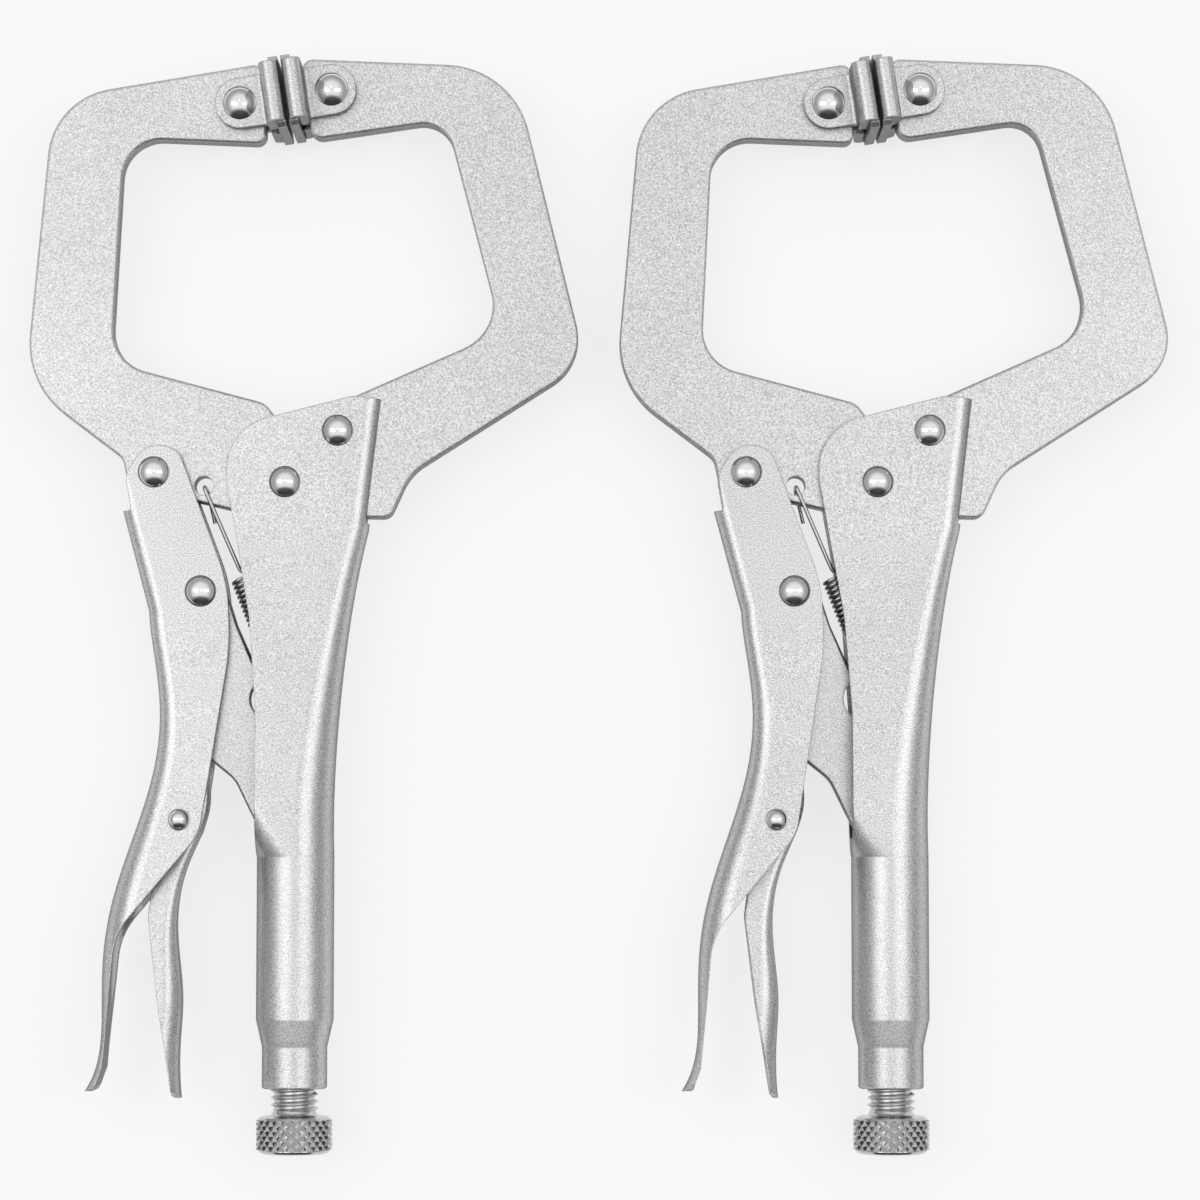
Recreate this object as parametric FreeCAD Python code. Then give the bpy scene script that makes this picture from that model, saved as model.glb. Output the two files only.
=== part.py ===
import FreeCAD, Part
import math
import os
from FreeCAD import Vector

# A pair of locking c-clamps that lie flat, side by side, jaws towards +Y.
# Lengths are in millimetres and angles in degrees.
# A clamp is drawn round its jaw pivot, which is at 0, 0 on its middle plane.

# The pair
clamp_spacing = 149.0
clamp_names = ["left", "right"]

# Pivots of one clamp, seen from above
jaw_pivot = Vector(0, 0, 0)
fixed_jaw_hole = Vector(13.2, 13.0, 0)
lever_pivot = Vector(-33.0, 2.5, 0)
link_pivot = Vector(-21.0, -27.5, 0)
link_nose = Vector(2.9, -94.0, 0)
release_pivot = Vector(-25.8, -84.8, 0)
spring_hole = Vector(-20.5, -0.8, 0)

# Plate and sheet
jaw_thickness = 6.0
link_thickness = 5.2
handle_sheet = 2.0
lever_sheet = 1.8
release_sheet = 1.3
pad_sheet = 2.3
edge_break = 0.5
side_play = 0.15
hub_gap = 0.5
release_play = 0.3

# Rivets
rivet_shank = 2.5
rivet_head = 4.0
pad_rivet_head = 4.3
release_rivet_shank = 1.6
release_rivet_head = 2.8
dome_height = 2.2
running_fit = 0.05

# Jaw hub and lobes
hub_radius = 8.8
lobe_radius = 6.8
lobe_relief = 4.5
spring_hole_radius = 2.4
link_notch = Vector(-3.7, -54.5, 0)
link_notch_radius = 5.0

# Ends of the two levers, seen from the side
tail_radius = 7.0
release_tail_radius = 5.5

# Swivel pads
contact_centre = Vector(-0.35, 98.0, 0)
contact_tilt = 8.6
contact_gap = 0.86
pad_reach = 11.3
pad_width = 30.0
pad_face_length = 18.2
pad_roll_length = 15.2
pad_hem_gap = 0.2
pad_ear_radius = 6.2
pad_bend = 1.0
pad_corner = 1.2

# Tube, neck and adjusting screw
tube_radius = 9.7
tube_axis_x = 2.9
tube_top_y = -94.0
tube_end_y = -134.5
shoulder_length = 6.0
neck_radius = 8.15
neck_end_y = -151.7
screw_radius = 6.0
thread_play = 0.08
nose_radius = 3.3
nose_gap = 1.6
knob_radius = 9.6
knob_top_y = -156.6
knob_length = 11.2
knob_chamfer = 0.9
collar_length = 2.2
collar_radius = 5.2

# Tension spring
wire_radius = 0.5
coil_radius = 2.3
coil_start = Vector(-11.2, -24.0, 0)
spring_end = Vector(4.2, -63.8, 0)
anchor_hole_radius = 1.25
hook_radius = 1.9
tab_thickness = 1.6
tab_width = 5.2
tab_length = 11.0

jaw_half = jaw_thickness / 2
ear_inner = jaw_half + side_play
ear_outer = ear_inner + handle_sheet
lever_outer = ear_inner + lever_sheet


# Outlines and small solids

def outline(corners):
    # A closed face from corner points, each with the radius that rounds it.
    count = len(corners)
    starts, ends, mids = [], [], []
    for i in range(count):
        x, y, radius = corners[i]
        here = Vector(x, y, 0)
        before = Vector(corners[i - 1][0], corners[i - 1][1], 0)
        after = Vector(corners[(i + 1) % count][0], corners[(i + 1) % count][1], 0)
        back = (before - here).normalize()
        ahead = (after - here).normalize()
        if radius == 0:
            starts.append(here)
            ends.append(here)
            mids.append(None)
            continue
        half = back.getAngle(ahead) / 2
        reach = radius / math.tan(half)
        middle = (back + ahead).normalize()
        starts.append(here + back * reach)
        ends.append(here + ahead * reach)
        mids.append(here + middle * (radius / math.sin(half) - radius))
    edges = []
    for i in range(count):
        if mids[i] is not None:
            edges.append(Part.Arc(starts[i], mids[i], ends[i]).toShape())
        following = starts[(i + 1) % count]
        if (following - ends[i]).Length > 1e-6:
            edges.append(Part.LineSegment(ends[i], following).toShape())
    return Part.Face(Part.Wire(edges))


def plate(corners, half):
    face = outline(corners)
    face.translate(Vector(0, 0, -half))
    return face.extrude(Vector(0, 0, 2 * half))


def disc(centre, radius, half):
    return Part.makeCylinder(radius, 2 * half, centre - Vector(0, 0, half))


def turned(points, start, direction):
    # A solid of revolution from radius and height pairs along an axis.
    wire = Part.makePolygon([Vector(r, 0, h) for r, h in points + points[:1]])
    solid = Part.Face(wire).revolve(Vector(0, 0, 0), Vector(0, 0, 1), 360)
    solid.Placement = FreeCAD.Placement(start, FreeCAD.Rotation(Vector(0, 0, 1), direction))
    return solid


def broken_edges(solid, size):
    # Chamfers every edge of a plate's two faces.
    top = solid.BoundBox.ZMax
    rim = []
    for edge in solid.Edges:
        box = edge.BoundBox
        flat = box.ZLength < 1e-6 and abs(abs(box.ZMax) - top) < 1e-6
        if flat:
            rim.append(edge)
    return solid.makeChamfer(size, rim)


def wire_run(points, radius):
    # A bent wire: straight lengths with a ball at each bend.
    run = None
    for i in range(len(points) - 1):
        step = points[i + 1] - points[i]
        length = Part.makeCylinder(radius, step.Length, points[i], step)
        run = length if run is None else run.fuse(length)
        if i > 0:
            run = run.fuse(Part.makeSphere(radius, points[i]))
    return run


def round_ended(end_y, half, radius):
    # A block to trim with, round at its low end when seen along X.
    side = outline([(end_y, -half, radius), (end_y, half, radius), (20, half, 0), (20, -half, 0)])
    side = side.extrude(Vector(0, 0, 120))
    turn = FreeCAD.Rotation(Vector(0, 1, 0), Vector(0, 0, 1), Vector(1, 0, 0), "ZXY")
    side.Placement = FreeCAD.Placement(Vector(-80, 0, 0), turn)
    return side


def section(y, left, right, half, left_radius, right_radius):
    # A rounded box section in the plane of one y, as eight edges.
    arcs = [
        (right - right_radius, half - right_radius, right_radius, 90),
        (right - right_radius, right_radius - half, right_radius, 0),
        (left + left_radius, left_radius - half, left_radius, -90),
        (left + left_radius, half - left_radius, left_radius, 180),
    ]
    edges = []
    runs = []
    for x, z, radius, angle in arcs:
        corner = []
        for turn in (angle, angle - 45, angle - 90):
            a = math.radians(turn)
            corner.append(Vector(x + radius * math.cos(a), y, z + radius * math.sin(a)))
        runs.append(corner)
    for i in range(4):
        edges.append(Part.Arc(*runs[i]).toShape())
        edges.append(Part.LineSegment(runs[i][2], runs[(i + 1) % 4][0]).toShape())
    return Part.Wire(edges)


def lofted(sections, straight=False):
    return Part.makeLoft([section(*s) for s in sections], True, straight)


def thinned(sections, wall, open_left=False, open_right=False):
    # The same sections drawn inside a wall, with one side left open.
    inner = []
    for y, left, right, half, left_radius, right_radius in sections:
        left_wall = 0 if open_left and left_radius < half / 2 else wall
        right_wall = 0 if open_right and right_radius < half / 2 else wall
        inner.append((
            y,
            left + left_wall,
            right - right_wall,
            half - wall,
            max(left_radius - wall, 0.4),
            max(right_radius - wall, 0.4),
        ))
    return inner


# Fixed side of a clamp

handle_front = [
    (30, 20.4, 0), (24.6, 20.9, 0), (17.5, 21.9, 12), (-14.9, 13.6, 13.5), (-14.7, 0.5, 20),
    (-8.6, -34, 60), (-6.8, -58, 60), (-6.8, -92, 0), (-6.8, tube_top_y - 6, 0), (30, tube_top_y - 6, 0),
]
ear_bottom_y = -12.0
jaw_slot_bottom_y = -10.4
ear_sections = [
    (26.0, -24.0, 25.2, ear_outer, 1.0, 4.2),
    (ear_bottom_y, -24.0, 20.9, ear_outer, 1.0, 4.5),
]
channel_sections = [
    (ear_bottom_y, -24.0, 20.9, ear_outer, 1.0, 4.5),
    (-30.0, -16.0, 17.2, 6.1, 1.2, 5.6),
    (-52.0, -14.0, 14.3, 7.8, 1.6, 7.3),
    (-74.0, -11.5, 12.7, 9.2, 2.6, 8.9),
]


def tube_mouth(radius, flat=0.15):
    return (tube_top_y, tube_axis_x - radius, tube_axis_x + radius, radius, radius - flat, radius - flat)


def fixed_handle():
    outer = lofted(ear_sections, True)
    outer = outer.fuse(lofted(channel_sections + [tube_mouth(tube_radius)]))
    hollow = lofted(thinned(ear_sections, handle_sheet, open_left=True), True)
    bore = tube_mouth(tube_radius - handle_sheet)
    hollow = hollow.fuse(lofted(thinned(channel_sections, handle_sheet, open_left=True) + [bore]))
    front = plate(handle_front, 2 * tube_radius)
    shell = outer.cut(hollow).common(front)
    # the fixed jaw leaves through a slot in the spine
    slot = Part.makeBox(30, 60, 2 * ear_inner, Vector(8, jaw_slot_bottom_y, -ear_inner))
    shell = shell.cut(slot)
    neck_start = tube_end_y - shoulder_length
    tube = turned([
        (tube_radius - handle_sheet, 0),
        (tube_radius, 0),
        (tube_radius, tube_top_y - tube_end_y),
        (neck_radius + 0.35, tube_top_y - neck_start - 0.6),
        (neck_radius, tube_top_y - neck_start + 0.8),
        (neck_radius, tube_top_y - neck_end_y - 0.4),
        (neck_radius - 0.4, tube_top_y - neck_end_y),
        (screw_radius + thread_play, tube_top_y - neck_end_y),
        (screw_radius + thread_play, tube_top_y - neck_start),
        (tube_radius - handle_sheet, tube_top_y - tube_end_y - 1.0),
    ], Vector(tube_axis_x, tube_top_y, 0), Vector(0, -1, 0))
    shell = shell.fuse(tube)
    for pivot in (jaw_pivot, fixed_jaw_hole):
        shell = shell.cut(disc(pivot, rivet_shank, 2 * tube_radius))
    # a lanced tab inside the spine holds the spring
    tab_corner = spring_end - Vector(tab_width / 2, tab_width / 2, tab_thickness / 2)
    tab = Part.makeBox(tab_length, tab_width, tab_thickness, tab_corner)
    tab = tab.cut(disc(spring_end, anchor_hole_radius, tab_thickness))
    return shell.fuse(tab.cut(outside_of_channel())).removeSplitter()


def outside_of_channel():
    # What lies beyond the middle of the spine wall, so that the tab ends in the wall.
    keep = lofted(thinned(channel_sections + [tube_mouth(tube_radius)], handle_sheet / 2))
    return Part.makeBox(60, 40, 30, Vector(-20, -80, -15)).cut(keep)


def fixed_jaw():
    jaw = plate([
        (3.0, 108.1, 3), (57.1, 105.9, 22), (75.7, 30.3, 14), (31.5, 2.2, 14), (26.4, -9.0, 3),
        (9.0, -8.6, 1), (6.0, 0, 0), (7.0, 17.3, 2), (54.3, 38.3, 12), (40.2, 92.3, 8), (5.9, 87.2, 3.4),
    ], jaw_half)
    jaw = jaw.cut(disc(jaw_pivot, hub_radius + hub_gap, jaw_thickness))
    jaw = broken_edges(jaw, edge_break)
    jaw = jaw.cut(disc(fixed_jaw_hole, rivet_shank, jaw_thickness))
    return jaw.cut(disc(pad_rivet_place(1), rivet_shank + running_fit, jaw_thickness))


# Moving side of a clamp

def moving_jaw():
    jaw = plate([
        (-5.6, 107.0, 3), (-59.4, 97.9, 18.5), (-65.9, 24.9, 23), (-41.0, 6.0, 4), (-39.0, -3.6, 5),
        (-23.2, -4.6, 0), (-13.5, -6.9, 0), (0, -8.4, 0), (4.4, 7.3, 0), (-5.2, 20.1, 5),
        (-44.2, 30.5, 11), (-41.3, 87.7, 10), (-5.4, 86.2, 2.5),
    ], jaw_half)
    jaw = jaw.fuse(disc(jaw_pivot, hub_radius, jaw_half)).removeSplitter()
    jaw = broken_edges(jaw, edge_break)
    for place in (jaw_pivot, lever_pivot, pad_rivet_place(-1)):
        jaw = jaw.cut(disc(place, rivet_shank + running_fit, jaw_thickness))
    return jaw.cut(disc(spring_hole, spring_hole_radius, jaw_thickness))


lever_front = [
    (-55, -7.2, 0), (-38.6, -7.2, 0.8), (-40.2, 2.0, 6), (-34.5, 10.6, 6.5), (-26.8, 8.0, 5),
    (-14.2, -25.5, 40), (-13.6, -42, 60), (-20.8, -88.5, 12), (-41.6, -113.5, 18), (-44.6, -146.5, 3),
    (-47.0, -153.0, 0), (-60, -153, 0),
]
lever_ear_sections = [
    (14.0, -46.6, 0, lever_outer, 3.8, 1.0),
    (-32.5, -34.2, 0, lever_outer, 3.8, 1.0),
]
lever_sections = [
    (-32.5, -34.2, 0, lever_outer, 3.8, 1.0),
    (-53.0, -31.6, 0, 5.3, 4.2, 1.0),
    (-72.0, -32.7, 0, 6.1, 5.0, 1.0),
    (-95.0, -39.8, 0, 7.6, 6.2, 1.2),
    (-118.0, -44.9, 0, 8.8, 7.4, 1.4),
    (-153.0, -49.8, 0, 8.8, 7.6, 1.4),
]


def lever_handle():
    outer = lofted(lever_ear_sections, True).fuse(lofted(lever_sections))
    hollow = lofted(thinned(lever_ear_sections, lever_sheet, open_right=True), True)
    hollow = hollow.fuse(lofted(thinned(lever_sections, lever_sheet, open_right=True)))
    shell = outer.cut(hollow).common(plate(lever_front, 2 * lobe_radius))
    shell = shell.common(round_ended(-152.3, 8.9, tail_radius))
    # the bend is relieved round the jaw's lobe, which turns between the ears
    shell = shell.cut(disc(lever_pivot, lobe_radius + lobe_relief, ear_inner))
    for pivot in (lever_pivot, link_pivot):
        shell = shell.cut(disc(pivot, rivet_shank, 2 * lobe_radius))
    return shell.cut(disc(release_pivot, release_rivet_shank, 2 * lobe_radius))


def toggle_link():
    # The lobe and the nose are round about their pivots, the heel stops on the release lever's side.
    half = link_thickness / 2
    lobe = lobe_radius - 0.6
    along = (link_nose - link_pivot).normalize()
    across = Vector(-along.y, along.x, 0)
    lobe_left = link_pivot - across * lobe - along * lobe
    lobe_right = link_pivot + across * lobe - along * lobe
    nose_right = link_nose + across * nose_radius + along * nose_radius
    nose_left = link_nose - across * nose_radius + along * nose_radius
    link = plate([
        (lobe_right.x, lobe_right.y, lobe - 0.05), (-12.0, -36, 10), (-6.4, -48.6, 4), (-5.6, -62, 10),
        (nose_right.x, nose_right.y, nose_radius - 0.05), (nose_left.x, nose_left.y, nose_radius - 0.05),
        (-7.4, -84.9, 30), (-12.3, -74.8, 8), (-18.9, -69.5, 1.6), (-21.6, -60, 8),
        (lobe_left.x, lobe_left.y, lobe - 0.05),
    ], half)
    link = broken_edges(link, edge_break)
    link = link.cut(disc(link_notch, link_notch_radius, half + 1))
    return link.cut(disc(link_pivot, rivet_shank + running_fit, half + 1))


release_front = [
    (-17.0, -69.8, 0), (-17.0, -160, 0), (-26.4, -160, 0), (-29.0, -142, 6), (-31.0, -130, 30),
    (-33.6, -109, 8), (-31.4, -92, 6), (-29.6, -80.5, 4), (-24.4, -78.0, 3), (-24.2, -69.8, 0),
]
release_sections = [
    (-66.0, -40, -23.0, ear_inner - release_play, 0.5, 1.6),
    (-74.0, -40, -19.3, ear_inner - release_play, 0.5, 1.6),
    (-84.0, -40, -19.2, ear_inner - release_play, 0.5, 1.6),
    (-96.0, -40, -24.0, ear_inner - release_play + 0.2, 0.5, 1.8),
    (-112.0, -40, -26.6, 4.6, 0.5, 3.0),
    (-130.0, -40, -25.2, 6.0, 0.5, 4.4),
    (-140.0, -40, -25.7, 6.4, 0.5, 5.0),
    (-155.0, -40, -25.2, 6.4, 0.5, 5.0),
]


def release_lever():
    outer = lofted(release_sections)
    hollow = lofted(thinned(release_sections, release_sheet, open_left=True))
    shell = outer.cut(hollow).common(plate(release_front, 12))
    shell = shell.common(round_ended(-154.0, 6.5, release_tail_radius))
    return shell.cut(disc(release_pivot, release_rivet_shank + running_fit, 12))


# Rivets, pads, screw and spring

def rivet(place, half_grip, shank, head):
    # A shank with a shallow dome at each end.
    radius = (head * head + dome_height * dome_height) / (2 * dome_height)
    solid = disc(place, shank, half_grip + 0.2)
    for side in (1, -1):
        centre = place + Vector(0, 0, side * (half_grip + dome_height - radius))
        ball = Part.makeSphere(radius, centre)
        cap = Part.makeBox(20, 20, 10, place + Vector(-10, -10, half_grip if side > 0 else -half_grip - 10))
        solid = solid.fuse(ball.common(cap))
    return solid


def contact_normal():
    tilt = math.radians(contact_tilt)
    return Vector(math.cos(tilt), math.sin(tilt), 0)


def pad_rivet_place(side):
    return contact_centre + contact_normal() * side * (pad_reach + contact_gap / 2)


def pad():
    # One folded strip, drawn with its rivet at 0, 0 and its face towards +X.
    face = pad_reach
    back = face - pad_sheet
    fold = back - pad_hem_gap
    flange = fold - pad_sheet
    half = pad_width / 2
    ear_in = ear_inner
    ear_out = ear_in + pad_sheet
    roll = (face - flange) / 2 - 0.01
    strip = []
    for side in (1, -1):
        path = [
            (-pad_ear_radius, side * ear_in, 0), (fold, side * ear_in, pad_bend),
            (fold, side * (half - pad_sheet), 0), (back, side * (half - pad_sheet), 0),
            (back, 0, 0), (face, 0, 0), (face, side * half, roll),
            (flange, side * half, roll), (flange, side * ear_out, pad_bend),
            (-pad_ear_radius, side * ear_out, 0),
        ]
        strip.append(outline(path))
    profile = strip[0].fuse(strip[1]).removeSplitter()
    turn = FreeCAD.Rotation(Vector(1, 0, 0), Vector(0, 0, 1), Vector(0, -1, 0), "XYZ")
    profile.Placement = FreeCAD.Placement(Vector(0, pad_face_length / 2, 0), turn)
    solid = profile.extrude(Vector(0, -pad_face_length, 0))
    # ears are round about the rivet, and the rolls are a little shorter than the face
    ear_view = outline([
        (face + 1, pad_roll_length / 2, 0), (flange, pad_roll_length / 2, 0), (flange, pad_ear_radius + 0.3, 0),
        (-pad_ear_radius, pad_ear_radius + 0.1, pad_ear_radius),
        (-pad_ear_radius, -pad_ear_radius - 0.1, pad_ear_radius),
        (flange, -pad_ear_radius - 0.3, 0), (flange, -pad_roll_length / 2, 0), (face + 1, -pad_roll_length / 2, 0),
    ])
    ear_view.translate(Vector(0, 0, -half - 1))
    trimmed = solid.common(ear_view.extrude(Vector(0, 0, 2 * half + 2)))
    face_plate = outline([
        (back, -half + pad_sheet, 0), (face, -half + pad_sheet, 0),
        (face, half - pad_sheet, 0), (back, half - pad_sheet, 0),
    ])
    face_plate.Placement = FreeCAD.Placement(Vector(0, pad_face_length / 2, 0), turn)
    face_plate = face_plate.extrude(Vector(0, -pad_face_length, 0))
    face_plate = face_plate.makeChamfer(pad_corner, [
        e for e in face_plate.Edges
        if e.BoundBox.XLength > 1 and abs(abs(e.BoundBox.ZMax) - (half - pad_sheet)) < 1e-6
    ])
    solid = trimmed.fuse(face_plate).removeSplitter()
    return solid.cut(disc(Vector(0, 0, 0), rivet_shank, half))


def placed_pad(side):
    solid = pad()
    angle = contact_tilt if side < 0 else contact_tilt + 180
    solid.Placement = FreeCAD.Placement(pad_rivet_place(side), FreeCAD.Rotation(Vector(0, 0, 1), angle))
    return solid


def adjusting_screw():
    tip_y = link_nose.y - nose_radius - nose_gap
    knob_end = tip_y - (knob_top_y - knob_length)
    knob_start = tip_y - knob_top_y
    return turned([
        (0, 0), (screw_radius - 1.2, 0), (screw_radius, 1.2), (screw_radius, knob_start - collar_length),
        (collar_radius, knob_start - collar_length + 0.5), (collar_radius, knob_start),
        (knob_radius - knob_chamfer, knob_start), (knob_radius, knob_start + knob_chamfer),
        (knob_radius, knob_end - knob_chamfer), (knob_radius - knob_chamfer, knob_end), (0, knob_end),
    ], Vector(tube_axis_x, tip_y, 0), Vector(0, -1, 0))


def tension_spring():
    run = (spring_end - coil_start).normalize()
    coil_end = spring_end - run * (2 * hook_radius + 1.6)
    length = (coil_end - coil_start).Length
    coil = Part.makeCylinder(coil_radius + wire_radius, length, coil_start, run)
    coil = coil.cut(Part.makeCylinder(coil_radius - wire_radius, length, coil_start, run))
    front = jaw_half + wire_radius + 0.35
    across = Vector(-run.y, run.x, 0)
    hook = wire_run([
        Vector(spring_hole.x + 2.2, spring_hole.y - 9.0, -front),
        Vector(spring_hole.x + 0.3, spring_hole.y - 1.0, -front),
        Vector(spring_hole.x + 0.3, spring_hole.y - 1.0, front),
        coil_start - run * 1.6 + Vector(0, 0, 1.6),
        coil_start + Vector(0, 0, coil_radius),
    ], wire_radius)
    ring_centre = spring_end - run * hook_radius
    ring = Part.makeTorus(hook_radius, wire_radius, ring_centre, across)
    tail = wire_run([
        coil_end + Vector(0, 0, coil_radius), coil_end + run * 0.8 + Vector(0, 0, coil_radius * 0.6),
        ring_centre - run * hook_radius,
    ], wire_radius)
    return coil.fuse(hook).fuse(ring).fuse(tail)


# Both clamps

def clamp_parts():
    pad_grip = ear_inner + pad_sheet
    lever = lever_handle()
    release_seat = lever.common(disc(release_pivot, release_rivet_head, 2 * lobe_radius))
    return {
        "fixed_handle": fixed_handle(),
        "fixed_jaw": fixed_jaw(),
        "moving_jaw": moving_jaw(),
        "lever_handle": lever,
        "toggle_link": toggle_link(),
        "release_lever": release_lever(),
        "adjusting_screw": adjusting_screw(),
        "tension_spring": tension_spring(),
        "fixed_jaw_rivet": rivet(fixed_jaw_hole, ear_outer, rivet_shank, rivet_head),
        "jaw_pivot_rivet": rivet(jaw_pivot, ear_outer, rivet_shank, rivet_head),
        "lever_rivet": rivet(lever_pivot, lever_outer, rivet_shank, rivet_head),
        "link_rivet": rivet(link_pivot, lever_outer, rivet_shank, rivet_head),
        "release_rivet": rivet(
            release_pivot, release_seat.optimalBoundingBox(False).ZMax, release_rivet_shank, release_rivet_head),
        "moving_pad": placed_pad(-1),
        "fixed_pad": placed_pad(1),
        "moving_pad_rivet": rivet(pad_rivet_place(-1), pad_grip, rivet_shank, pad_rivet_head),
        "fixed_pad_rivet": rivet(pad_rivet_place(1), pad_grip, rivet_shank, pad_rivet_head),
    }


def main():
    os.makedirs("parts", exist_ok=True)
    parts = clamp_parts()
    box = FreeCAD.BoundBox()
    for solid in parts.values():
        box.add(solid.optimalBoundingBox(False))
    middle = (box.XMin + box.XMax) / 2
    for index, name in enumerate(clamp_names):
        move = Vector((index - 0.5) * clamp_spacing - middle, -(box.YMin + box.YMax) / 2, -box.ZMin)
        print(name, "clamp's jaw pivot at", [round(v, 3) for v in move])
        for part, solid in parts.items():
            copy = solid.copy()
            copy.translate(move)
            copy.exportStep("parts/%s_%s.step" % (name, part))
    for part, solid in parts.items():
        print(part, len(solid.Solids), solid.isValid(), round(solid.Volume, 1))


main()
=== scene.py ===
import math
import bmesh
import bpy
from mathutils import Matrix, Vector


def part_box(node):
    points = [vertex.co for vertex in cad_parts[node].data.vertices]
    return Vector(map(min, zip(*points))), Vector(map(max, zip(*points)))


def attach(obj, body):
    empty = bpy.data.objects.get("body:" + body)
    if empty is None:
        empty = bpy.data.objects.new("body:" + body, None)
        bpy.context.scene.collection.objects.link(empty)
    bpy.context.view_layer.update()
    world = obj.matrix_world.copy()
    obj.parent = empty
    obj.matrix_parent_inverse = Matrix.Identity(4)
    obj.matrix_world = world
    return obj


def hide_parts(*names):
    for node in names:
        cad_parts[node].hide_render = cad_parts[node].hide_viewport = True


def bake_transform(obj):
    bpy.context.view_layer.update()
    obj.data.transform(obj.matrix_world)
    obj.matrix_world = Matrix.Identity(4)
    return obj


# Two locking c-clamps on a pale table, seen from above.
# Lengths in the dictionaries are millimetres, round the jaw pivot of a clamp.

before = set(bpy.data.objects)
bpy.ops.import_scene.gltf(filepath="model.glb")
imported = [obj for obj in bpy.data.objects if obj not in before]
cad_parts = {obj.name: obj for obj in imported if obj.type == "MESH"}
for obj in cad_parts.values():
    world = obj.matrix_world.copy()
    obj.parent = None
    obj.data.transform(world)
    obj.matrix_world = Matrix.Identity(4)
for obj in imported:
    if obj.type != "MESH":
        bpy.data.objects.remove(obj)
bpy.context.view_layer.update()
scene = bpy.context.scene
mm = 0.001
weldReach = 0.000002  # metres within which doubled points become one
sides = ("left", "right")


def jawPivot(side):
    low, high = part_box(side + "_jaw_pivot_rivet")
    return (low + high) / 2


pivots = {side: jawPivot(side) for side in sides}
print("frame loaded,", len(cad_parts), "nodes")


# materials

satin = {
    "colour": (0.665, 0.665, 0.662),
    "cloud": 0.05,  # how much darker the plating gets in patches of a few centimetres
    "cloudScale": 34.0,
    "cloudDetail": 3.0,
    "grazing": 0.25,  # how much of its shine the plate keeps where it is seen at a slant
    "grainScale": 3000.0,
    "grainDetail": 2.0,
    "grainRough": 0.6,
    "grain": (0.60, 1.18),  # darkest and lightest grain, as shares of the colour
    "grainRange": (0.36, 0.64),  # noise values at which the grain reaches them
    "grainHeight": 0.00005,
    "grainStrength": 0.6,
    "edgeRound": 0.55,  # radius in mm to which tumbling has worn the cut edges
    "edgeSamples": 4,
    "roughness": (0.27, 0.42),
    "pitScale": 1500.0,
    "pit": 0.25,  # how much darker the small pits are
    "pitReach": 0.16,
}


def link(tree, fromNode, output, toNode, socket):
    tree.links.new(fromNode.outputs[output], toNode.inputs[socket])


def newMaterial(name):
    material = bpy.data.materials.new(name)
    material.use_nodes = True
    tree = material.node_tree
    shader = tree.nodes["Principled BSDF"]
    shader.inputs["Metallic"].default_value = 1.0
    coords = tree.nodes.new("ShaderNodeTexCoord")
    mapping = tree.nodes.new("ShaderNodeMapping")
    link(tree, coords, "Object", mapping, "Vector")
    return material, tree, shader, mapping


def noise(tree, mapping, scale, detail, rough=0.5):
    texture = tree.nodes.new("ShaderNodeTexNoise")
    texture.inputs["Scale"].default_value = scale
    texture.inputs["Detail"].default_value = detail
    texture.inputs["Roughness"].default_value = rough
    link(tree, mapping, "Vector", texture, "Vector")
    return texture


def spread(tree, texture, output, low, high, fromLow=0.3, fromHigh=0.7):
    # a texture's middle range stretched over low to high
    node = tree.nodes.new("ShaderNodeMapRange")
    node.inputs["From Min"].default_value = fromLow
    node.inputs["From Max"].default_value = fromHigh
    node.inputs["To Min"].default_value = low
    node.inputs["To Max"].default_value = high
    link(tree, texture, output, node, "Value")
    return node


def scaledColour(tree, shader, colour, *factors):
    # base colour times each factor
    last = None
    for factor in factors:
        mix = tree.nodes.new("ShaderNodeMix")
        mix.data_type = "RGBA"
        mix.blend_type = "MULTIPLY"
        mix.inputs["Factor"].default_value = 1.0
        if last is None:
            mix.inputs[6].default_value = (*colour, 1)
        else:
            tree.links.new(last.outputs[2], mix.inputs[6])
        tree.links.new(factor.outputs[0], mix.inputs[7])
        last = mix
    tree.links.new(last.outputs[2], shader.inputs["Base Color"])


def satinNickel(name, tone, shift):
    # blasted sheet under a thin satin plate: even, with a fine sparkling grain
    material, tree, shader, mapping = newMaterial(name)
    mapping.inputs["Location"].default_value = shift
    shader.inputs["Specular Tint"].default_value = (*(satin["grazing"],) * 3, 1)
    cloud = noise(tree, mapping, satin["cloudScale"], satin["cloudDetail"])
    grain = noise(tree, mapping, satin["grainScale"], satin["grainDetail"], satin["grainRough"])
    pits = tree.nodes.new("ShaderNodeTexVoronoi")
    pits.inputs["Scale"].default_value = satin["pitScale"]
    link(tree, mapping, "Vector", pits, "Vector")
    cloudFactor = spread(tree, cloud, "Fac", 1 - satin["cloud"], 1.0)
    grainFactor = spread(tree, grain, "Fac", *satin["grain"], *satin["grainRange"])
    pitFactor = spread(tree, pits, "Distance", 1 - satin["pit"], 1.0, 0.0, satin["pitReach"])
    colour = tuple(c * tone for c in satin["colour"])
    scaledColour(tree, shader, colour, cloudFactor, grainFactor, pitFactor)
    rough = spread(tree, grain, "Fac", *satin["roughness"])
    link(tree, rough, "Result", shader, "Roughness")
    bump = tree.nodes.new("ShaderNodeBump")
    bump.inputs["Strength"].default_value = satin["grainStrength"]
    bump.inputs["Distance"].default_value = satin["grainHeight"]
    link(tree, grain, "Fac", bump, "Height")
    worn = tree.nodes.new("ShaderNodeBevel")
    worn.samples = satin["edgeSamples"]
    worn.inputs["Radius"].default_value = satin["edgeRound"] * mm
    link(tree, worn, "Normal", bump, "Normal")
    link(tree, bump, "Normal", shader, "Normal")
    return material


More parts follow.
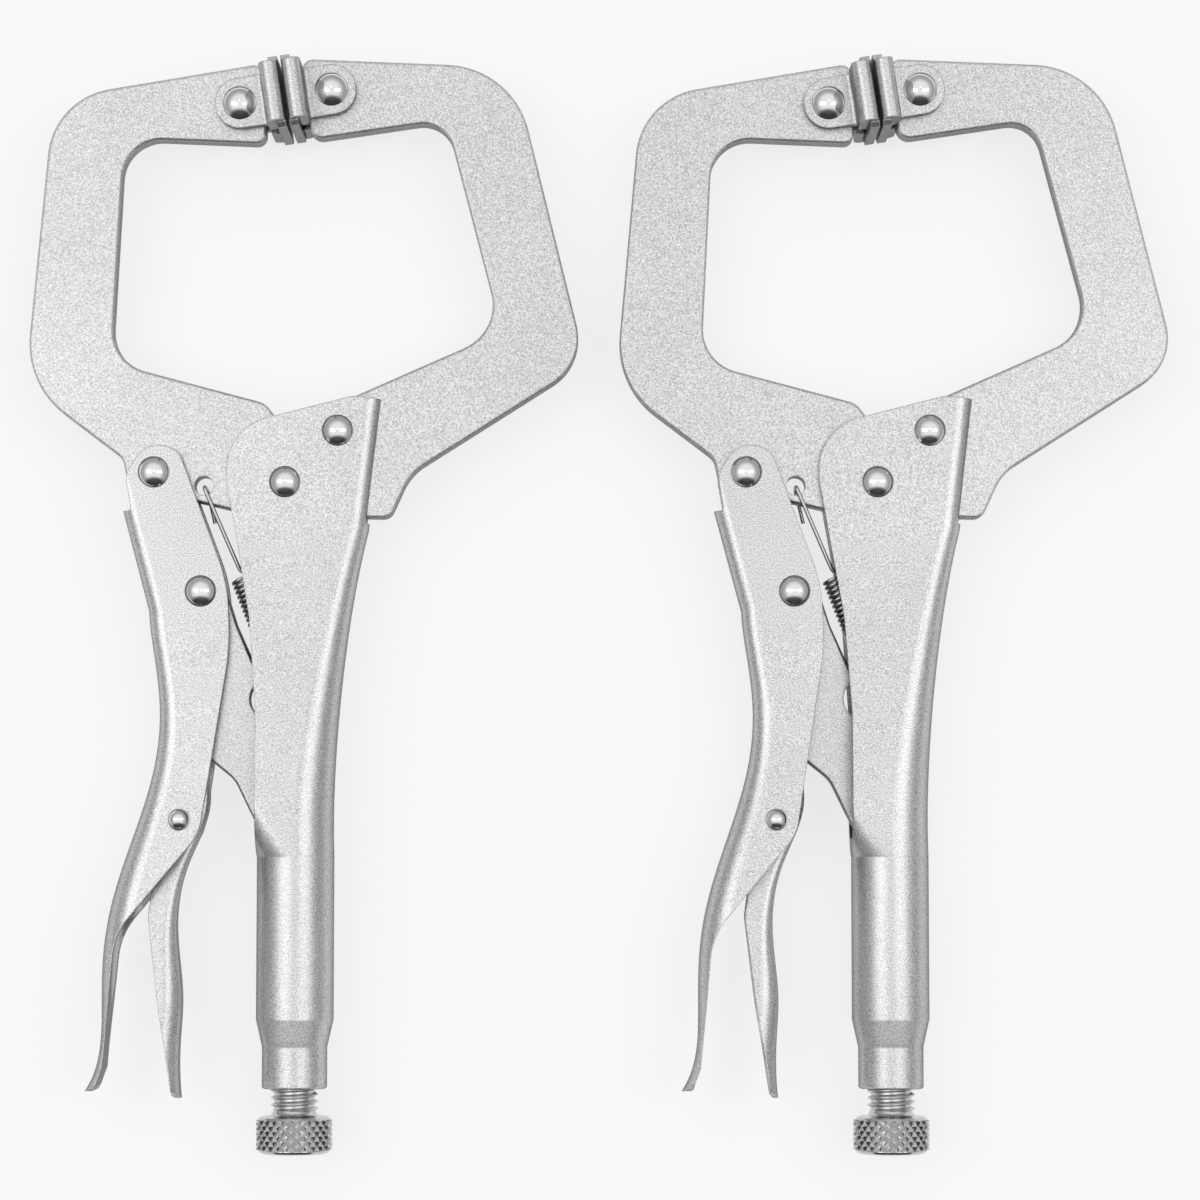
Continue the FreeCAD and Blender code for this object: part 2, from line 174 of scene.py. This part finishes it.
satinKinds = {  # tone, and where each kind starts in the grain
    "handle": (1.0, (0, 0, 0)),
    "jaw": (0.99, (0.31, 0.07, 0.00013)),
    "lever": (1.0, (0.11, 0.53, 0.00005)),
    "link": (0.95, (0.71, 0.23, 0.0)),
    "pad": (0.97, (0.17, 0.83, 0.0)),
}
nickel = {kind: satinNickel(kind + "Nickel", *values) for kind, values in satinKinds.items()}

polish = {
    "smearDetail": 4.0,
    "smearRough": 0.6,
    "smearDark": 0.93,
    "marksPerSmear": 9,
    "marksDetail": 2.0,
    "marksStrength": 0.25,
}
polishedKinds = {  # colour, roughness out of and in the smears, their scale, and the marks' height
    "rivet": ((0.76, 0.76, 0.755), (0.035, 0.065), 260.0, 0.00001),
    "screw": ((0.58, 0.58, 0.575), (0.13, 0.21), 420.0, 0.00003),
    "wire": ((0.50, 0.50, 0.50), (0.22, 0.32), 600.0, 0.00001),
}


def polishedNickel(name, colour, roughness, smearScale, markHeight):
    # bright plate with faint smears and tumbling marks
    material, tree, shader, mapping = newMaterial(name)
    smears = noise(tree, mapping, smearScale, polish["smearDetail"], polish["smearRough"])
    clouds = spread(tree, smears, "Fac", polish["smearDark"], 1.0)
    scaledColour(tree, shader, colour, clouds)
    rough = spread(tree, smears, "Fac", *roughness)
    link(tree, rough, "Result", shader, "Roughness")
    marks = noise(tree, mapping, smearScale * polish["marksPerSmear"], polish["marksDetail"])
    bump = tree.nodes.new("ShaderNodeBump")
    bump.inputs["Strength"].default_value = polish["marksStrength"]
    bump.inputs["Distance"].default_value = markHeight
    link(tree, marks, "Fac", bump, "Height")
    link(tree, bump, "Normal", shader, "Normal")
    return material


bright = {kind: polishedNickel(kind + "Nickel", *values) for kind, values in polishedKinds.items()}

finishOf = {
    "fixed_handle": "handle", "fixed_jaw": "jaw", "moving_jaw": "jaw", "lever_handle": "lever",
    "toggle_link": "link", "release_lever": "lever", "moving_pad": "pad", "fixed_pad": "pad",
}
for side in sides:
    for node, finish in finishOf.items():
        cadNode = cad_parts[side + "_" + node]
        cadNode.data.materials.clear()
        cadNode.data.materials.append(nickel[finish])
print("materials made")


# building pieces

def finishPiece(name, bm, material, body, node, sharp=35):
    bmesh.ops.remove_doubles(bm, verts=bm.verts, dist=weldReach)
    bmesh.ops.recalc_face_normals(bm, faces=bm.faces)
    mesh = bpy.data.meshes.new(name)
    bm.to_mesh(mesh)
    bm.free()
    mesh.materials.append(material)
    mesh.shade_smooth()
    mesh.set_sharp_from_angle(angle=math.radians(sharp))
    piece = bpy.data.objects.new(name, mesh)
    scene.collection.objects.link(piece)
    if body:
        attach(piece, body)
    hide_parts(node)
    return piece


def profileEdges(bm, points):
    # an open line of radius and height pairs in the XZ plane
    verts = [bm.verts.new((r * mm, 0, h * mm)) for r, h in points]
    edges = [bm.edges.new(pair) for pair in zip(verts, verts[1:])]
    return verts + edges


def turnedShape(bm, points, segments):
    geom = profileEdges(bm, points)
    bmesh.ops.spin(
        bm, geom=geom, cent=(0, 0, 0), axis=(0, 0, 1), angle=2 * math.pi, steps=segments,
        use_merge=True)


def place(bm, where, direction, side):
    # turns a shape drawn up Z to a direction and sets it down in a clamp, all in millimetres
    turn = Vector((0, 0, 1)).rotation_difference(Vector(direction)).to_matrix().to_4x4()
    spot = pivots[side] + Vector(where) * mm
    bmesh.ops.transform(bm, matrix=Matrix.Translation(spot) @ turn, verts=bm.verts)


# rivets: domes with the small dimple that the set leaves

rivetHead = {
    "dome": 2.2,
    "dimple": 0.34,
    "dimpleDepth": 0.10,
    "dimpleFloor": (0.55, 0.8),  # shares of the dimple's radius and depth at the foot of its slope
    "rim": 0.12,
    "rimEdge": (0.02, 0.8),  # how far in the rim's edge lies, and its height as a share of the rim
    "seatInset": 0.06,
    "arcSteps": 12,
    "segments": 48,
}
rivets = {  # the body that carries each rivet, and the radius of its shank
    "fixed_jaw_rivet": ("frame", 2.5), "jaw_pivot_rivet": ("frame", 2.5),
    "lever_rivet": ("lever", 2.5), "link_rivet": ("lever", 2.5), "release_rivet": ("lever", 1.6),
    "moving_pad_rivet": ("moving_pad_clip", 2.5), "fixed_pad_rivet": ("fixed_pad_clip", 2.5),
}


def domeProfile(head, top, seat):
    d = rivetHead
    ball = (head * head + d["dome"] ** 2) / (2 * d["dome"])
    reach = math.asin((head - d["rim"]) / ball)
    floorRadius, floorDepth = d["dimpleFloor"]
    points = [(0, top - d["dimpleDepth"])]
    points.append((d["dimple"] * floorRadius, top - d["dimpleDepth"] * floorDepth))
    start = math.asin(d["dimple"] / ball)
    for i in range(d["arcSteps"] + 1):
        angle = start + (reach - start) * i / d["arcSteps"]
        points.append((ball * math.sin(angle), top - ball + ball * math.cos(angle)))
    edgeInset, edgeHeight = d["rimEdge"]
    points.append((head - edgeInset, seat + d["rim"] * edgeHeight))
    points.append((head - d["seatInset"], seat))
    return points


def rivetPiece(side, node, body, shank):
    low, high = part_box(side + "_" + node)
    head = (high.x - low.x) / 2 / mm
    top = (high.z - low.z) / 2 / mm
    upper = domeProfile(head, top, top - rivetHead["dome"])
    points = upper + [(shank, top - rivetHead["dome"])]
    points += [(r, -h) for r, h in reversed(points)]
    bm = bmesh.new()
    turnedShape(bm, points, rivetHead["segments"])
    bmesh.ops.translate(bm, vec=(low + high) / 2, verts=bm.verts)
    finishPiece(
        side + "Rivet_" + node, bm, bright["rivet"], side + "_" + body,
        side + "_" + node)


for side in sides:
    for node, (body, shank) in rivets.items():
        rivetPiece(side, node, body, shank)
print("rivets made")


# adjusting screw: rolled thread, plain collar and knurled knob

screw = {
    "axisX": 2.9,
    "tipY": -98.9,
    "threadEndY": -156.9,
    "pitch": 1.75,
    "crest": 5.98,
    "root": 5.05,
    "crestRound": 0.08,
    "threadShares": (0.0, 0.12, 0.40, 0.46, 0.54, 0.60, 0.88, 1.0),  # heights in one pitch
    "threadSteps": 30,
    "threadFoot": [(0, -0.3), (5.1, -0.3), (5.3, 0)],  # radius, and depth below the thread's end
    "collar": [(5.4, -1.1), (5.65, -0.6), (6.05, -0.25), (6.7, 0)],  # and below the knob's top
    "knobTopY": -158.6,
    "knobEndY": -167.8,
    "knobRadius": 9.5,
    "smoothEdge": 1.0,
    "edgeRim": [(-0.9, 0), (-0.25, 0.25), (0.05, 0.75)],  # past the valleys, and share of the edge
    "edgeStep": [(0, 0.02), (-0.35, 0.1)],  # past the valleys, and past the edge
    "endHollow": [(1.6, 0), (1.2, -0.35), (0, -0.6)],  # radius, and depth below the knob's end
    "segments": 64,
    "knurlCount": 24,
    "knurlSpare": 8,  # cells beyond twice the count, for the corners of the slanting field
    "knurlInset": 0.36,
    "knurlDepth": 0.60,
    "knurlWeld": 0.00001,
}


def threadedRod():
    # one pitch of the thread's outline, swept round and down as it turns
    d = screw
    bm = bmesh.new()
    flank = (d["root"], d["root"], d["crest"] - d["crestRound"], d["crest"])
    outline = zip(flank + flank[::-1], d["threadShares"])
    geom = profileEdges(bm, [(r, share * d["pitch"]) for r, share in outline])
    length = d["tipY"] - d["threadEndY"]
    turns = math.ceil(length / d["pitch"]) + 2
    steps = turns * d["threadSteps"]
    bmesh.ops.spin(
        bm, geom=geom, cent=(0, 0, 0), axis=(0, 0, 1), angle=2 * math.pi * turns, steps=steps,
        dvec=(0, 0, d["pitch"] * mm / d["threadSteps"]), use_merge=False)
    bmesh.ops.remove_doubles(bm, verts=bm.verts, dist=weldReach)
    # the rod runs past both ends, which are then cut flat and closed
    bmesh.ops.translate(bm, vec=(0, 0, -1.5 * d["pitch"] * mm), verts=bm.verts)
    for height, keepAbove in ((0, True), (length * mm, False)):
        cut = bmesh.ops.bisect_plane(
            bm, geom=bm.verts[:] + bm.edges[:] + bm.faces[:], plane_co=(0, 0, height),
            plane_no=(0, 0, 1), clear_inner=keepAbove, clear_outer=not keepAbove)
        rim = [e for e in cut["geom_cut"] if isinstance(e, bmesh.types.BMEdge)]
        bmesh.ops.holes_fill(bm, edges=rim, sides=0)
    return bm


def knurledBand():
    # a flat field of pyramids on the slant, cut to the knob's girth, then rolled up
    d = screw
    height = d["knobTopY"] - d["knobEndY"] - 2 * d["smoothEdge"]
    girth = 2 * math.pi * d["knobRadius"]
    cell = girth / d["knurlCount"] / math.sqrt(2)
    count = 2 * d["knurlCount"] + d["knurlSpare"]
    bm = bmesh.new()
    bmesh.ops.create_grid(bm, x_segments=count, y_segments=count, size=count * cell / 2 * mm)
    bmesh.ops.inset_individual(
        bm, faces=bm.faces[:], thickness=cell * d["knurlInset"] * mm, depth=d["knurlDepth"] * mm,
        use_even_offset=True)
    slant = Matrix.Rotation(math.radians(45), 3, "Z")
    bmesh.ops.rotate(bm, cent=(0, 0, 0), matrix=slant, verts=bm.verts)
    for axis, extent in (((1, 0, 0), girth), ((0, 1, 0), height)):
        for normal in (Vector(axis), -Vector(axis)):
            bmesh.ops.bisect_plane(
                bm, geom=bm.verts[:] + bm.edges[:] + bm.faces[:], plane_co=normal * extent / 2 * mm,
                plane_no=normal, clear_outer=True)
    valley = (d["knobRadius"] - d["knurlDepth"]) * mm
    middle = (d["knobTopY"] + d["knobEndY"]) / 2 * mm
    for vert in bm.verts:
        angle = vert.co.x / mm / d["knobRadius"]
        radius = valley + vert.co.z
        vert.co = (radius * math.sin(angle), radius * -math.cos(angle), -(vert.co.y + middle))
    bmesh.ops.remove_doubles(bm, verts=bm.verts, dist=d["knurlWeld"])
    return bm


def screwPiece(side):
    d = screw
    bm = threadedRod()
    bmesh.ops.translate(bm, vec=(0, 0, -d["tipY"] * mm), verts=bm.verts)
    band = knurledBand()
    bandMesh = bpy.data.meshes.new("band")
    band.to_mesh(bandMesh)
    band.free()
    bm.from_mesh(bandMesh)
    bpy.data.meshes.remove(bandMesh)
    valley = d["knobRadius"] - d["knurlDepth"]
    foot, top, end = -d["threadEndY"], -d["knobTopY"], -d["knobEndY"]
    edge = d["smoothEdge"]
    # collar with its fillet, and the knob's two plain ends
    rim = [(valley + out, edge * share) for out, share in d["edgeRim"]]
    rim += [(valley + out, edge + past) for out, past in d["edgeStep"]]
    points = [(r, foot + down) for r, down in d["threadFoot"]]
    points += [(r, top + down) for r, down in d["collar"]]
    points += [(r, top + depth) for r, depth in rim]
    points += [(r, end - depth) for r, depth in reversed(rim)]
    points += [(r, end + down) for r, down in d["endHollow"]]
    turnedShape(bm, points, d["segments"])
    bmesh.ops.recalc_face_normals(bm, faces=bm.faces)
    place(bm, (d["axisX"], 0, 0), (0, -1, 0), side)
    finishPiece(
        side + "Screw", bm, bright["screw"], side + "_screw",
        side + "_adjusting_screw", 28)


for side in sides:
    screwPiece(side)
print("screws made")


# tension springs: wound coil, long hook and closed eye

spring = {
    "wire": 0.5,
    "coilRadius": 2.3,
    "coilStart": (-11.2, -24.0, 0),
    "anchor": (4.2, -63.8, 0),
    "eyeRadius": 1.9,
    "eyeNeck": 1.6,
    "pitch": 1.25,
    "stepsPerTurn": 20,
    "wireSides": 8,
    "hole": (-20.5, -0.8, 0),
    "front": 3.85,  # height of the hook's wire above the middle of the jaw
    "hook": [  # from its tip behind the jaw: x and y from the hole, and share of that height
        (2.2, -9.0, -1), (1.5, -6.0, -1), (0.3, -1.0, -1),
        (0.1, -0.2, -0.8), (0.1, -0.2, 0.8), (0.4, -1.2, 1),
    ],
    "lead": [(-4.0, 0.4, 2.2), (-1.2, 0.6, 1.7)],  # down the coil's axis, across it and up
    "leadEnd": [(-0.8, 1.3), (0, 0)],  # down and up, on the coil's side
    "eyeLead": (0.5, 0.4, 0.6),
    "eyeSwell": 1.12,  # sets the ring's points further out, as the smooth line runs inside them
    "eyeStep": 40,
    "eyePoints": 9,
    "hookLoop": 3.0,
    "coilGive": 8.0,
}


def coil(length):
    d = spring
    turns = length / d["pitch"]
    steps = round(turns * d["stepsPerTurn"])
    bm = bmesh.new()
    bmesh.ops.create_circle(bm, segments=d["wireSides"], radius=d["wire"] * mm, cap_ends=False)
    tilt = math.atan(d["pitch"] / (2 * math.pi * d["coilRadius"]))
    slope = Matrix.Rotation(math.pi / 2 + tilt, 3, "X")
    bmesh.ops.rotate(bm, cent=(0, 0, 0), matrix=slope, verts=bm.verts)
    bmesh.ops.translate(bm, vec=(d["coilRadius"] * mm, 0, 0), verts=bm.verts)
    bmesh.ops.spin(
        bm, geom=bm.verts[:] + bm.edges[:], cent=(0, 0, 0), axis=(0, 0, 1),
        angle=2 * math.pi * turns, steps=steps, dvec=(0, 0, length * mm / steps), use_merge=False)
    return bm


def wire(name, points):
    # a round wire along a smooth line through given points, as a mesh
    curve = bpy.data.curves.new(name, "CURVE")
    curve.dimensions = "3D"
    curve.bevel_depth = spring["wire"] * mm
    curve.bevel_resolution = 2
    curve.resolution_u = 6
    curve.use_fill_caps = True
    line = curve.splines.new("NURBS")
    line.points.add(len(points) - 1)
    for point, spot in zip(line.points, points):
        point.co = (*(Vector(spot) * mm), 1)
    line.order_u = 3
    line.use_endpoint_u = True
    holder = bpy.data.objects.new(name, curve)
    mesh = bpy.data.meshes.new_from_object(holder)
    bpy.data.objects.remove(holder)
    bpy.data.curves.remove(curve)
    return mesh


def springPiece(side):
    d = spring
    start, anchor, hole = (Vector(d[key]) for key in ("coilStart", "anchor", "hole"))
    run = (anchor - start).normalized()
    across = Vector((-run.y, run.x, 0))
    up = Vector((0, 0, 1))
    length = (anchor - start).length - 2 * d["eyeRadius"] - d["eyeNeck"]
    turn = Matrix((across, up, run)).transposed().to_4x4()
    bm = coil(length)
    bmesh.ops.transform(bm, matrix=Matrix.Translation(start * mm) @ turn, verts=bm.verts)

    def along(origin, steps):
        # points by their distances down the coil's axis, across it and up from an origin
        return [origin + run * down + across * out + up * rise for down, out, rise in steps]

    hook = [hole + Vector((x, y, d["front"] * share)) for x, y, share in d["hook"]]
    radius = d["coilRadius"]
    lead = d["lead"] + [(down, radius, rise) for down, rise in d["leadEnd"]]
    eyeCentre = anchor - run * d["eyeRadius"]
    lastAngle = 2 * math.pi * length / d["pitch"]
    lastSpot = (length, math.cos(lastAngle) * radius, math.sin(lastAngle) * radius)
    ringAngles = [math.radians(d["eyeStep"] * i) for i in range(d["eyePoints"])]
    ringRadius = d["eyeRadius"] * d["eyeSwell"]
    ring = [(-math.cos(a) * ringRadius, 0, math.sin(a) * ringRadius) for a in ringAngles]
    eye = along(start, [lastSpot]) + along(start + run * length, [d["eyeLead"]])
    eye += along(eyeCentre, [(-d["eyeRadius"], 0, 0)] + ring)
    for name, points in (("hook", hook + along(start, lead)), ("eye", eye)):
        mesh = wire(name, points)
        bm.from_mesh(mesh)
        bpy.data.meshes.remove(mesh)
    bmesh.ops.translate(bm, vec=pivots[side], verts=bm.verts)
    piece = finishPiece(
        side + "Spring", bm, bright["wire"], None, side + "_tension_spring", 60)
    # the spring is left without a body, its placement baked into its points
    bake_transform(piece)


for side in sides:
    springPiece(side)
print("springs made")


# table, light and camera

studio = {
    "tableHalf": 3.0,
    "tableDrop": 0.0002,  # gap in metres that keeps the table clear of the clamps
    "floor": 0.92,
    "floorGlow": 0.72,  # share of plain white that the camera and reflections see on the table
    "skyTop": 1.06,
    "skySide": 0.46,
    "ceiling": (0.28, 0.84),  # heights between which the sides of the room turn into its ceiling
    "darkSide": (0.0, -0.975, 0.22),
    "darkSpread": (0.55, 0.85),
    "darkLevel": 0.12,
    "windows": [  # place, size and brightness of the soft boxes, all facing the clamps
        ((-0.95, 0.10, 1.65), (0.60, 1.2), 1.55),
        ((0.95, 0.10, 1.65), (0.50, 1.2), 1.55),
    ],
}
view = {
    "distance": 0.95,
    "tilt": 4.0,
    "lens": 113.2,
    "aim": (0.0003, 0.0004, 0.016),
    "clipStart": 0.05,
}


def makeTable():
    bm = bmesh.new()
    bmesh.ops.create_grid(bm, x_segments=1, y_segments=1, size=studio["tableHalf"])
    bmesh.ops.translate(bm, vec=(0, 0, -studio["tableDrop"]), verts=bm.verts)
    mesh = bpy.data.meshes.new("table")
    bm.to_mesh(mesh)
    bm.free()
    material = bpy.data.materials.new("tablePaper")
    material.use_nodes = True
    tree = material.node_tree
    tree.nodes.clear()
    out = tree.nodes.new("ShaderNodeOutputMaterial")
    matt = tree.nodes.new("ShaderNodeBsdfDiffuse")
    matt.inputs["Color"].default_value = (*(studio["floor"],) * 3, 1)
    glow = tree.nodes.new("ShaderNodeEmission")
    path = tree.nodes.new("ShaderNodeLightPath")
    seen = tree.nodes.new("ShaderNodeMath")
    seen.operation = "MAXIMUM"
    link(tree, path, "Is Camera Ray", seen, 0)
    link(tree, path, "Is Glossy Ray", seen, 1)
    seenAtAll = tree.nodes.new("ShaderNodeMath")
    seenAtAll.operation = "MAXIMUM"
    link(tree, seen, 0, seenAtAll, 0)
    link(tree, path, "Is Transmission Ray", seenAtAll, 1)
    share = tree.nodes.new("ShaderNodeMath")
    share.operation = "MULTIPLY"
    share.inputs[1].default_value = studio["floorGlow"]
    link(tree, seenAtAll, 0, share, 0)
    mix = tree.nodes.new("ShaderNodeMixShader")
    link(tree, share, 0, mix, 0)
    link(tree, matt, 0, mix, 1)
    link(tree, glow, 0, mix, 2)
    link(tree, mix, 0, out, "Surface")
    mesh.materials.append(material)
    table = bpy.data.objects.new("table", mesh)
    scene.collection.objects.link(table)


def makeSky():
    # pale all round, brighter overhead, with the darker side of the room below the picture
    world = bpy.data.worlds.new("room")
    scene.world = world
    world.use_nodes = True
    tree = world.node_tree
    background = tree.nodes["Background"]
    coords = tree.nodes.new("ShaderNodeTexCoord")
    parts = tree.nodes.new("ShaderNodeSeparateXYZ")
    link(tree, coords, "Generated", parts, "Vector")
    lift = spread(tree, parts, "Z", studio["skySide"], studio["skyTop"], *studio["ceiling"])
    lift.interpolation_type = "SMOOTHSTEP"
    towards = tree.nodes.new("ShaderNodeVectorMath")
    towards.operation = "DOT_PRODUCT"
    towards.inputs[1].default_value = Vector(studio["darkSide"]).normalized()
    link(tree, coords, "Generated", towards, 0)
    dark = spread(tree, towards, "Value", 1.0, studio["darkLevel"], *studio["darkSpread"])
    dark.interpolation_type = "SMOOTHSTEP"
    level = tree.nodes.new("ShaderNodeMath")
    level.operation = "MULTIPLY"
    link(tree, lift, "Result", level, 0)
    link(tree, dark, "Result", level, 1)
    link(tree, level, 0, background, "Color")
    background.inputs["Strength"].default_value = 1.0


def makeLights():
    for index, (where, (width, depth), brightness) in enumerate(studio["windows"]):
        light = bpy.data.lights.new("window%d" % index, "AREA")
        light.shape = "RECTANGLE"
        light.size = width
        light.size_y = depth
        light.energy = brightness * math.pi * width * depth
        lamp = bpy.data.objects.new("window%d" % index, light)
        lamp.location = where
        lamp.rotation_euler = (-Vector(where)).to_track_quat("-Z", "Y").to_euler()
        scene.collection.objects.link(lamp)


def makeCamera():
    camera = bpy.data.objects.new("camera", bpy.data.cameras.new("camera"))
    scene.collection.objects.link(camera)
    tilt = math.radians(view["tilt"])
    back = Vector((0, -math.sin(tilt), math.cos(tilt)))
    camera.location = Vector(view["aim"]) + back * view["distance"]
    camera.rotation_euler = (tilt, 0, 0)
    camera.data.lens = view["lens"]
    camera.data.clip_start = view["clipStart"]
    scene.camera = camera


makeTable()
makeSky()
makeLights()
makeCamera()
scene.view_settings.view_transform = "Standard"
print("table, light and camera set")
